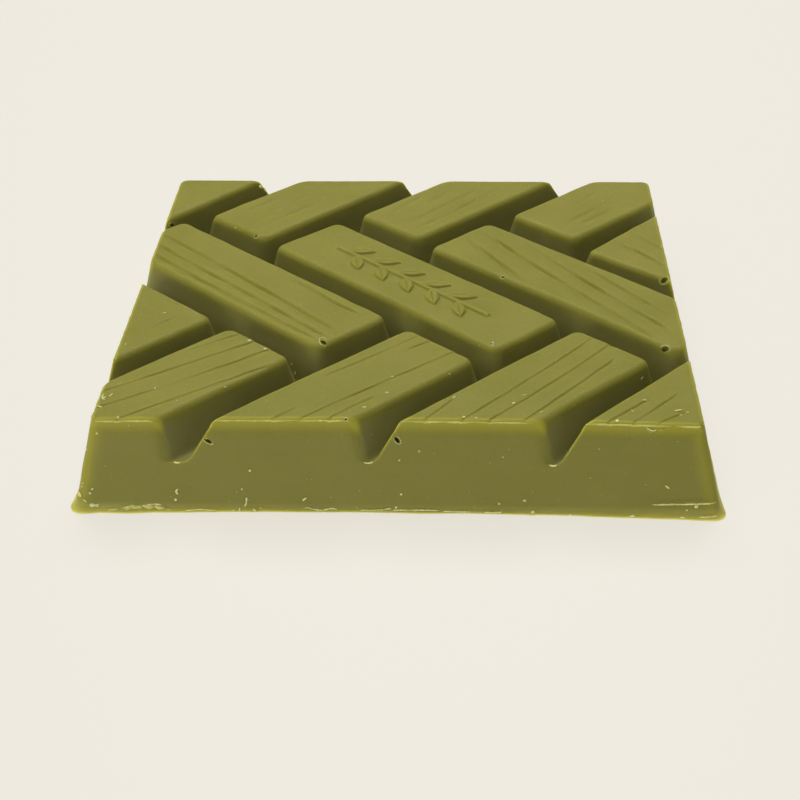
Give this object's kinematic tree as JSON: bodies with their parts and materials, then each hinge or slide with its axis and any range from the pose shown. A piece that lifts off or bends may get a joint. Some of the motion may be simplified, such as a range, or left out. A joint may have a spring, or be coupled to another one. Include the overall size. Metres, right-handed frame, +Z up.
{
  "type": "matcha white chocolate bar",
  "caption": "Square bar of green matcha white chocolate with leaning moulded sides, a grooved herringbone top of wood-grained boards and a small raised leaf sprig.",
  "frame": {"origin": "centre of the square underside, on the surface that the bar rests on", "axes": "+Z up out of the herringbone face, +X to the right and -Y towards the side that the picture shows in front"},
  "size_m": [0.072, 0.072, 0.0108],
  "materials": {
    "chocolate": "matt olive-green chocolate with a faint soft gloss, fine darker matcha specks and slightly translucent, yellower edges"
  },
  "bodies": {
    "root": {"bar": "chocolate"}
  },
  "joints": []
}
